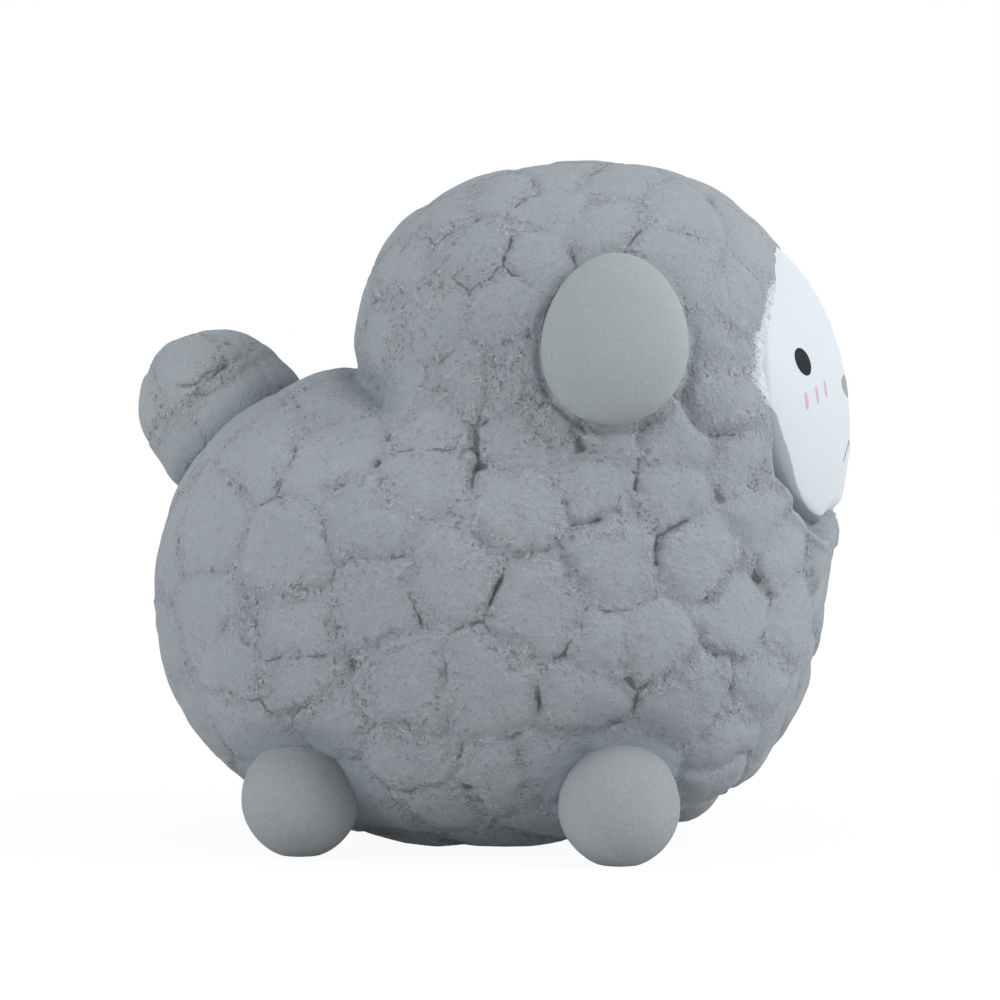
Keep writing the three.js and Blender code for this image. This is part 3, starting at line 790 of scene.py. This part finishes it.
def foam_material(name, tone):
    """Foam skin on a piece, with its own painted shade, crack and chew marks; heights are in millimetres.
    """
    material, tree, shader = surface_material(name)
    foam = add_node(tree, "ShaderNodeGroup", node_tree=foam_skin)
    tree.links.new(object_place(tree), foam.inputs["Place"])
    foam.inputs["Tone"].default_value = (*tone, 1.0)
    for mark in ("Painted_Shade", "Crack", "Chew"):
        tree.links.new(mark_on(tree, mark.lower()), foam.inputs[mark])
    relief = add_node(tree, "ShaderNodeBump", {"Height": foam.outputs["Height"], "Distance": MM,
                                               "Strength": FOAM_RELIEF})
    tree.links.new(foam.outputs["Color"], shader.inputs["Base Color"])
    tree.links.new(foam.outputs["Roughness"], shader.inputs["Roughness"])
    tree.links.new(relief.outputs[0], shader.inputs["Normal"])
    shader.inputs["Specular IOR Level"].default_value = FOAM_SHEEN
    return material, tree, shader, foam


foam_skin = foam_skin_group()
wool_material, tree, shader, foam = foam_material("wool_foam", FOAM_GREY)
mist = stretch(tree, noise_over(tree, 3600.0, 1.5), 0.3, 0.7, -0.35, 0.35)
sprayed = stretch(tree, calculate(tree, "ADD", mark_on(tree, "paint"), mist), 0.4, 0.8, 0.0, 0.95)
tree.links.new(mix_colour(tree, sprayed, foam.outputs["Color"], SPRAY_WHITE), shader.inputs["Base Color"])
wool.data.materials.append(wool_material)
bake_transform(wool)
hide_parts("body", "neck", "head")


# Face: a smooth bulge of the same foam in the pocket of the wool, sprayed satin white.
# Its rim rolls back into the pocket, where the spray thins out.
FACE_BULGE = ((33.1, 0, 60), (20, 26, 30))  # centre and half-sizes
FACE_CELLS = 72
RIM_DEPTH = 4.0
JOWL = 2.3  # squareness of the outline's lower half
WHITE_EDGE = 0.975  # share of the outline that is white where the lip is open
ROLL = (0.965, 0.4)  # where the rim starts to roll back, as a share of the outline, and how far
CHIN_TUCK = 1.6  # how far the face is set back behind the tuft at the chin
BROW_WHITE = (61, 67, 0.15)  # between these heights the white reaches farther out by this
JOWL_WHITE = (57, 8, 0.06)  # below this height, over this fall, it reaches farther out by this
JOWL_SPAN = (6, 13)  # and only beyond these distances from the middle
WHITE_FALL = 2.5  # how fast the white ends
ROLLED_OFF = 0.02  # what each millimetre behind the bulge counts as, towards the white's end
BARE_GREY = (0.335, 0.372, 0.405)
PAINT_WHITE = (0.6, 0.66, 0.704)
PAINT_LIGHT = (0.64, 0.7, 0.745)
PAINT_BUMPS = 0.1 * MM


def bulge_forward(across, height):
    """How far forward the face lies at a place on it."""
    (forward, _, middle), half = FACE_BULGE
    left = 1 - (across / half[1]) ** 2 - ((height - middle) / half[2]) ** 2
    return forward + half[0] * np.sqrt(np.maximum(left, 0.0))


shape = bmesh.new()
bmesh.ops.create_grid(shape, x_segments=FACE_CELLS, y_segments=FACE_CELLS, size=1)
rim_edges = [rim_edge for rim_edge in shape.edges if rim_edge.is_boundary]
for vertex in shape.verts:
    a, b = vertex.co.x, vertex.co.y
    side, up = a * math.sqrt(1 - b * b / 2), b * math.sqrt(1 - a * a / 2)
    out = math.hypot(side, up)
    turn_up = up / out if out > 0 else 0.0
    if up < 0:
        fuller = (abs(side / out) ** JOWL + abs(turn_up) ** JOWL) ** (-1 / JOWL)
        side, up = side * fuller, up * fuller
    aside = FACE_HALF[0] * side * (1 - FACE_FULLNESS * turn_up)
    rise = FACE_HEIGHT + FACE_HALF[1] * up
    past_roll = max(0.0, (out - ROLL[0]) / (1 - ROLL[0]))
    back = ROLL[1] * past_roll ** 2 * float(ramp(RECESS_TOP - rise, 0, 4))
    back += CHIN_TUCK * float(ramp(JAW[0] - rise, 0, CHIN_FADE) * (1 - ramp(abs(aside), *CHIN[1:])))
    vertex.co = Vector((float(bulge_forward(aside, rise)) - back, aside, rise)) * MM
walls = bmesh.ops.extrude_edge_only(shape, edges=rim_edges)["geom"]
back_rim = [made for made in walls if isinstance(made, bmesh.types.BMVert)]
bmesh.ops.translate(shape, verts=back_rim, vec=(-RIM_DEPTH * MM, 0, 0))
bmesh.ops.contextual_create(shape, geom=[open_edge for open_edge in shape.edges if open_edge.is_boundary])
bmesh.ops.recalc_face_normals(shape, faces=shape.faces)
face = finish_mesh(shape, "face_bulge")

face_places = vertex_places(face.data) / MM
forward, across, height = face_places.T
from_rim = 1 + face_rim(face_places) / (sum(FACE_HALF) / 2)
from_rim += ROLLED_OFF * (bulge_forward(across, height) - forward)
white_edge = WHITE_EDGE + BROW_WHITE[2] * ramp(height, *BROW_WHITE[:2])
low_jowl = ramp(JOWL_WHITE[0] - height, 0, JOWL_WHITE[1]) * ramp(np.abs(across), *JOWL_SPAN)
white_edge += JOWL_WHITE[2] * low_jowl
set_mark(face.data, "white", 0.5 + WHITE_FALL * (white_edge - from_rim))

face_material, tree, shader = surface_material("face_paint")
mist = noise_over(tree, 2200.0, 3.0)
cover = calculate(tree, "ADD", mark_on(tree, "white"), stretch(tree, mist, 0.3, 0.7, -0.006, 0.006))
white = mix_colour(tree, noise_over(tree, 60.0, 3.0), PAINT_WHITE, PAINT_LIGHT)
painted = mix_colour(tree, stretch(tree, cover, 0.49, 0.51), BARE_GREY, white)
tree.links.new(painted, shader.inputs["Base Color"])
tree.links.new(stretch(tree, mist, 0.0, 1.0, 0.42, 0.6), shader.inputs["Roughness"])
relief = add_node(tree, "ShaderNodeBump", {"Height": mist, "Distance": PAINT_BUMPS, "Strength": 0.25})
tree.links.new(relief.outputs[0], shader.inputs["Normal"])
shader.inputs["Specular IOR Level"].default_value = 0.35
face.data.materials.append(face_material)
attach(face, "head")
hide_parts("face")


# Face prints: eyes, nose, mouth and three blush strokes on each cheek are pad-printed in ink
# that stands up a hair from the white paint.
INK_LIFT = 0.06
EYE = (15.7, 68.9, 1.45, 1.95)  # side, height and half-sizes
NOSE = (0.0, 66.1, 4.6, 1.65)
MOUTH = (58.2, 55.1, 4.2, 0.25)  # top, bottom, half-width and half the stroke
MOUTH_BOW = 1.5
BLUSH_STROKES = ((11.65, 66.5), (14.05, 65.6), (16.45, 64.7))  # side and top of each
BLUSH_SIZE = (0.32, 1.25)
EYE_BLACK = ((0.017, 0.02, 0.024), (0.028, 0.031, 0.035))  # where the ink is full, and where it is thin
NOSE_GREY = ((0.29, 0.3, 0.31), (0.34, 0.35, 0.36))
MOUTH_GREY = ((0.22, 0.235, 0.25), (0.27, 0.285, 0.3))
BLUSH_PINK = ((0.64, 0.42, 0.51), (0.62, 0.45, 0.55))
PATCH_CELLS = (32, 14)
SIDES = (("left", 1), ("right", -1))


def ink_material(name, full, thin):
    """Flat ink with slightly uneven cover."""
    material, tree, shader = surface_material(name)
    cover = noise_over(tree, 1300.0, 4.0)
    tree.links.new(mix_colour(tree, cover, full, thin), shader.inputs["Base Color"])
    tree.links.new(stretch(tree, cover, 0.0, 1.0, 0.4, 0.6), shader.inputs["Roughness"])
    shader.inputs["Specular IOR Level"].default_value = 0.05
    return material


def print_patch(name, node, material, place_on):
    """A thin closed patch of ink; place_on turns a round spot into its place on the face."""
    shape = bmesh.new()
    bmesh.ops.create_uvsphere(shape, u_segments=PATCH_CELLS[0], v_segments=PATCH_CELLS[1], radius=1)
    for vertex in shape.verts:
        across, height = place_on(vertex.co.x, vertex.co.y)
        lift = INK_LIFT * vertex.co.z
        vertex.co = Vector((float(bulge_forward(across, height)) + lift, across, height)) * MM
    bmesh.ops.recalc_face_normals(shape, faces=shape.faces)
    patch = finish_mesh(shape, name)
    patch.data.materials.append(material)
    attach(patch, "head")
    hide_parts(node)


def oval_place(side, height, half_width, half_height):
    return lambda a, b: (side + half_width * a, height + half_height * b)


def stroke_place(side, top):
    """A short stroke with full, rounded ends."""
    half_width, half_length = BLUSH_SIZE

    def place_on(a, b):
        end = math.copysign(abs(b) ** 0.6, b)
        wide = math.copysign(abs(a) ** 0.7, a)
        return side + half_width * wide, top - half_length + half_length * end
    return place_on


def mouth_place(a, b):
    """Along the mouth, which falls from the middle to both corners, in a stroke of even width."""
    top, bottom, half_width, half_stroke = MOUTH
    fall = top - bottom
    slope = -math.copysign(fall * MOUTH_BOW * abs(a) ** (MOUTH_BOW - 1) / half_width, a)
    wide = math.sqrt(max(1 - a * a, 0.0))
    offset = half_stroke * (b / wide if wide > 0.01 else 0.0) / math.hypot(1, slope)
    return a * half_width - offset * slope, top - fall * abs(a) ** MOUTH_BOW + offset


eye_ink = ink_material("eye_ink", *EYE_BLACK)
blush_ink = ink_material("blush_ink", *BLUSH_PINK)
for name, sign in SIDES:
    side, *eye_sizes = EYE
    print_patch("eye_print_" + name, "eye_" + name, eye_ink, oval_place(sign * side, *eye_sizes))
    for number, (side, top) in enumerate(BLUSH_STROKES, 1):
        print_patch(f"blush_print_{name}_{number}", f"blush_{name}_{number}", blush_ink,
                    stroke_place(sign * side, top))
print_patch("nose_print", "nose", ink_material("nose_ink", *NOSE_GREY), oval_place(*NOSE))
print_patch("mouth_print", "mouth", ink_material("mouth_ink", *MOUTH_GREY), mouth_place)


# Ears: smooth egg-shaped lumps of the casting, narrower at the top, pressed against the head.
# Their skin has no cobbles, only the fine pores of the foam.
EAR_LEAN = math.radians(8)
EAR_FINENESS = 6
EAR_UNEVEN = 0.006  # share of its size by which the surface wavers
# lighter than the wool's grey though the ears are the same foam: painted light on the ears
EAR_GREY = (0.355, 0.396, 0.42)
EAR_WORN = 0.03
smooth_foam = foam_material("smooth_foam", EAR_GREY)[0]
for name, sign in SIDES:
    ear = ball_piece("ear_lump_" + name, EAR_FINENESS)
    places = vertex_places(ear.data)
    narrow = 1 - EAR_TAPER * places[:, 2]
    places *= (1 + EAR_UNEVEN * grain(places, 0.7, 51 + sign))[:, None]
    places[:, 0] *= narrow
    places = (places * EAR_HALF) @ np.array(Euler((sign * EAR_LEAN, 0, 0)).to_matrix()).T
    places += np.array(EAR_CENTRE) * (1, sign, 1)
    set_places(ear.data, places * MM)
    set_mark(ear.data, "chew", np.full(len(places), EAR_WORN))
    ear.data.materials.append(smooth_foam)
    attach(ear, "ear_" + name)
    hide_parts("ear_" + name)


# Tail: a lumpy ball of the casting on the back, joined by a short root that bends.
# A few cracks run between its lumps.
TAIL_TILT = math.radians(-41)
TAIL_RINGS = ((0, 1), (55, 5), (106, 5), (150, 3))  # lumps: degrees from the tip, how many
TAIL_FLARE = 1.9  # the ball widens into the back
TAIL_CRACK = ((2.6, 8.1), (4.1, 5.4), (2.6, 4.4), (-0.4, 2.9), (-2.6, 2.5))  # forward and up
TAIL_FLANK = 4  # the crack runs only farther than this from the middle
TAIL_FINENESS = 7
TAIL_WANDER = ((2.2, 6, 61), (0.4, 1.3, 61))  # layers of grain
TAIL_LUMPS = ((0.5, 7, 66), (0.12, 1.8, 67))
TAIL_BITES = ((0.15, 1.0, 70), (0.18, 1.9, 73))
TAIL_GROOVE = (1.8, 0.3)  # width and depth
# a little lighter than the wool's grey though the tail is the same foam: painted light on the tail
TAIL_GREY = (0.338, 0.376, 0.406)

tail_axis = np.array((math.sin(TAIL_TILT), 0.0, math.cos(TAIL_TILT)))
lumps = []
for from_tip, count in TAIL_RINGS:
    for number in range(count):
        lump = Vector((0, 0, 1))
        lump.rotate(Euler((0, math.radians(from_tip), 0)))
        lump.rotate(Euler((0, 0, 2 * math.pi * number / count)))
        lump.rotate(Euler((0, TAIL_TILT, 0)))
        lumps.append(lump)
tail = ball_piece("tail_lumps", TAIL_FINENESS)
rays = unit(vertex_places(tail.data))
ball = rays * TAIL_RADIUS
stray = wander(ball, TAIL_WANDER)
_, _, edge, rounded = cobble_edges(unit(ball + stray), np.full(len(ball), TAIL_RADIUS), np.array(lumps))
chew = ramp(2.2 + 1.8 * grain(ball, 3, 68) - edge, 0, 2.2)
valley = fade(rounded, TAIL_GROOVE[0])
ragged = rounded + 0.25 * grain(ball, 0.9, 69)
thin = (1 - ramp(ragged, 0.0, 0.5)) * ramp(grain(ball, 6, 64), 0.0, 0.4)
pits = ramp(grain(ball, 0.9, 65), 0.1, 0.6) * chew

jagged = np.column_stack([grain(ball, 1.4, seed) for seed in (76, 77)])
from_side = ball[:, ::2] + 0.35 * stray[:, ::2] + 0.5 * jagged
marks = np.array(TAIL_CRACK)
crack_away = np.min([from_stretch(from_side, *ends)[1] for ends in zip(marks[:-1], marks[1:])], axis=0)
crack_away = np.where(np.abs(ball[:, 1]) > TAIL_FLANK, crack_away, FAR)
deep = 1 - ramp(crack_away + 0.5 * grain(ball, 1.1, 74), 0.0, 0.7)
level = SKIN_LEVEL + grains(ball, TAIL_LUMPS) + chew * grains(ball, TAIL_BITES)
level -= TAIL_GROOVE[1] * valley + HAIRLINE_DEPTH * thin + PIT_DEPTH * pits + 0.35 * deep
level += TAIL_FLARE * ramp(-rays @ tail_axis, 0.05, 0.5)
set_places(tail.data, (TAIL_CENTRE + rays * (TAIL_RADIUS + level)[:, None]) * MM)
# Painted shade at the tail's foot, where it meets the back
tail_low = ramp(-rays @ tail_axis + 0.12 * grain(ball, 2.5, 78), 0.1, 0.45)
set_mark(tail.data, "painted_shade", painted_shade_mark({
    "hairlines": (0.1, thin),
    "cracks": (0.3, deep),
    "pits": (0.04, pits),
    "at its foot": (0.7, tail_low),
}))
# Painted shade in the gap of the tail's crack
tail_gap = 0.26 * ramp(grain(ball, 1.6, 75), -0.05, 0.35)
set_mark(tail.data, "crack", crack_mark(tail_gap - crack_away))
set_mark(tail.data, "chew", 0.15 + 0.85 * chew)
tail.data.materials.append(foam_material("tail_foam", TAIL_GREY)[0])
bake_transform(tail)
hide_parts("tail_root", "tail")


# Feet: four smooth balls of the casting under the belly, flattened where they stand.
# They are cast in one with the body, and a small fillet of foam runs round each.
FOOT_TALL = {"front": 1.14, "rear": 1.07}  # how far the upper half is stretched
FOOT_FINENESS = 6
FOOT_UNEVEN = ((0.12, 0.6, 71), (0.03, 0.12, 72))  # layers of grain over a ball of radius one
FOOT_GREY = (0.322, 0.354, 0.379)
FOOT_WORN = 0.1
foot_foam = foam_material("foot_foam", FOOT_GREY)[0]
for row, (foot_forward, foot_side) in FEET.items():
    for name, sign in SIDES:
        foot = ball_piece(f"foot_ball_{row}_{name}", FOOT_FINENESS)
        places = vertex_places(foot.data)
        places *= (FOOT_RADIUS + grains(places, FOOT_UNEVEN))[:, None]
        places[:, 2] *= np.where(places[:, 2] > 0, FOOT_TALL[row], 1.0)
        places += (foot_forward, sign * foot_side, FOOT_RISE)
        places[:, 2] = np.maximum(places[:, 2], 0.0)
        set_places(foot.data, places * MM)
        set_mark(foot.data, "chew", np.full(len(places), FOOT_WORN))
        foot.data.materials.append(foot_foam)
        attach(foot, "torso")
        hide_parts(f"foot_{row}_{name}")


# Studio: a plain white floor and room, with soft light from above and from both sides of the camera.
# The floor glows white where it is looked at, and keeps a faint shadow of the toy.
FLOOR_SIZE = 3.0
FLOOR_DROP = -0.0002
FLOOR_GREY = (0.7, 0.7, 0.7, 1.0)
FLOOR_GLOW = 1.05
SHADOW_REACH = (0.08, 0.25)  # the shadow fades out between these distances from the middle
SHADOW_GLOW = 0.9  # share of the glow near the toy; the rest of the floor is lit and keeps its shadow
ROOM_WHITE = (1.0, 1.0, 1.0, 1.0)
ROOM_LIGHT = 0.365
CAMERA_TURN = math.radians(11)
CAMERA_AWAY = 0.42
CAMERA_AIM = Vector((0.0019, 0.0, 0.0497))
LENS = 102.6
SENSOR = 36
NEAREST_SEEN = 0.01
LAMPS = (  # name, place, size and power of each softbox
    ("softbox_right", (0.73, -0.14, 0.42), 0.5, 4.65),
    ("softbox_left", (-0.56, -0.5, 0.22), 0.5, 2.85),
    ("softbox_above", (0.1, -0.1, 0.8), 0.5, 1.1),
)


def looked_at(tree):
    """1 for rays from the camera, also in a mirror or through glass, and 0 for all other light."""
    path = add_node(tree, "ShaderNodeLightPath").outputs
    through = calculate(tree, "MAXIMUM", path["Is Glossy Ray"], path["Is Transmission Ray"])
    return calculate(tree, "MAXIMUM", path["Is Camera Ray"], through)


shape = bmesh.new()
bmesh.ops.create_grid(shape, x_segments=1, y_segments=1, size=FLOOR_SIZE)
bmesh.ops.translate(shape, verts=shape.verts, vec=(0, 0, FLOOR_DROP))
floor = finish_mesh(shape, "floor")
floor_material, tree, shader = surface_material("floor_white")
tree.nodes.remove(shader)
matt = add_node(tree, "ShaderNodeBsdfDiffuse", {"Color": FLOOR_GREY})
glow = add_node(tree, "ShaderNodeEmission", {"Color": ROOM_WHITE, "Strength": FLOOR_GLOW})
away = add_node(tree, "ShaderNodeVectorMath", {0: object_place(tree)}, operation="LENGTH").outputs["Value"]
share = calculate(tree, "MULTIPLY", looked_at(tree), stretch(tree, away, *SHADOW_REACH, SHADOW_GLOW, 1.0))
blend = add_node(tree, "ShaderNodeMixShader", {0: share, 1: matt.outputs[0], 2: glow.outputs[0]})
tree.links.new(blend.outputs[0], tree.nodes["Material Output"].inputs["Surface"])
floor.data.materials.append(floor_material)

world = bpy.data.worlds.new("white_room")
bpy.context.scene.world = world
world.use_nodes = True
tree = world.node_tree
tree.nodes.clear()
room = add_node(tree, "ShaderNodeBackground", {"Color": ROOM_WHITE, "Strength": ROOM_LIGHT})
white_room = add_node(tree, "ShaderNodeBackground", {"Color": ROOM_WHITE, "Strength": 1.0})
blend = add_node(tree, "ShaderNodeMixShader", {0: looked_at(tree), 1: room.outputs[0],
                                               2: white_room.outputs[0]})
add_node(tree, "ShaderNodeOutputWorld", {"Surface": blend.outputs[0]})

for name, place, size, power in LAMPS:
    lamp = bpy.data.lights.new(name, "AREA")
    lamp.size = size
    lamp.energy = power
    holder = bpy.data.objects.new(name, lamp)
    holder.location = place
    holder.rotation_mode = "QUATERNION"
    holder.rotation_quaternion = (CAMERA_AIM - Vector(place)).to_track_quat("-Z", "Y")
    bpy.context.scene.collection.objects.link(holder)

lens = bpy.data.cameras.new("camera")
lens.lens = LENS
lens.sensor_width = SENSOR
lens.clip_start = NEAREST_SEEN
camera = bpy.data.objects.new("camera", lens)
camera.location = CAMERA_AIM + CAMERA_AWAY * Vector((math.sin(CAMERA_TURN), -math.cos(CAMERA_TURN), 0))
camera.rotation_euler = (math.pi / 2, 0, CAMERA_TURN)
bpy.context.scene.collection.objects.link(camera)
bpy.context.scene.camera = camera
bpy.context.scene.view_settings.view_transform = "Standard"
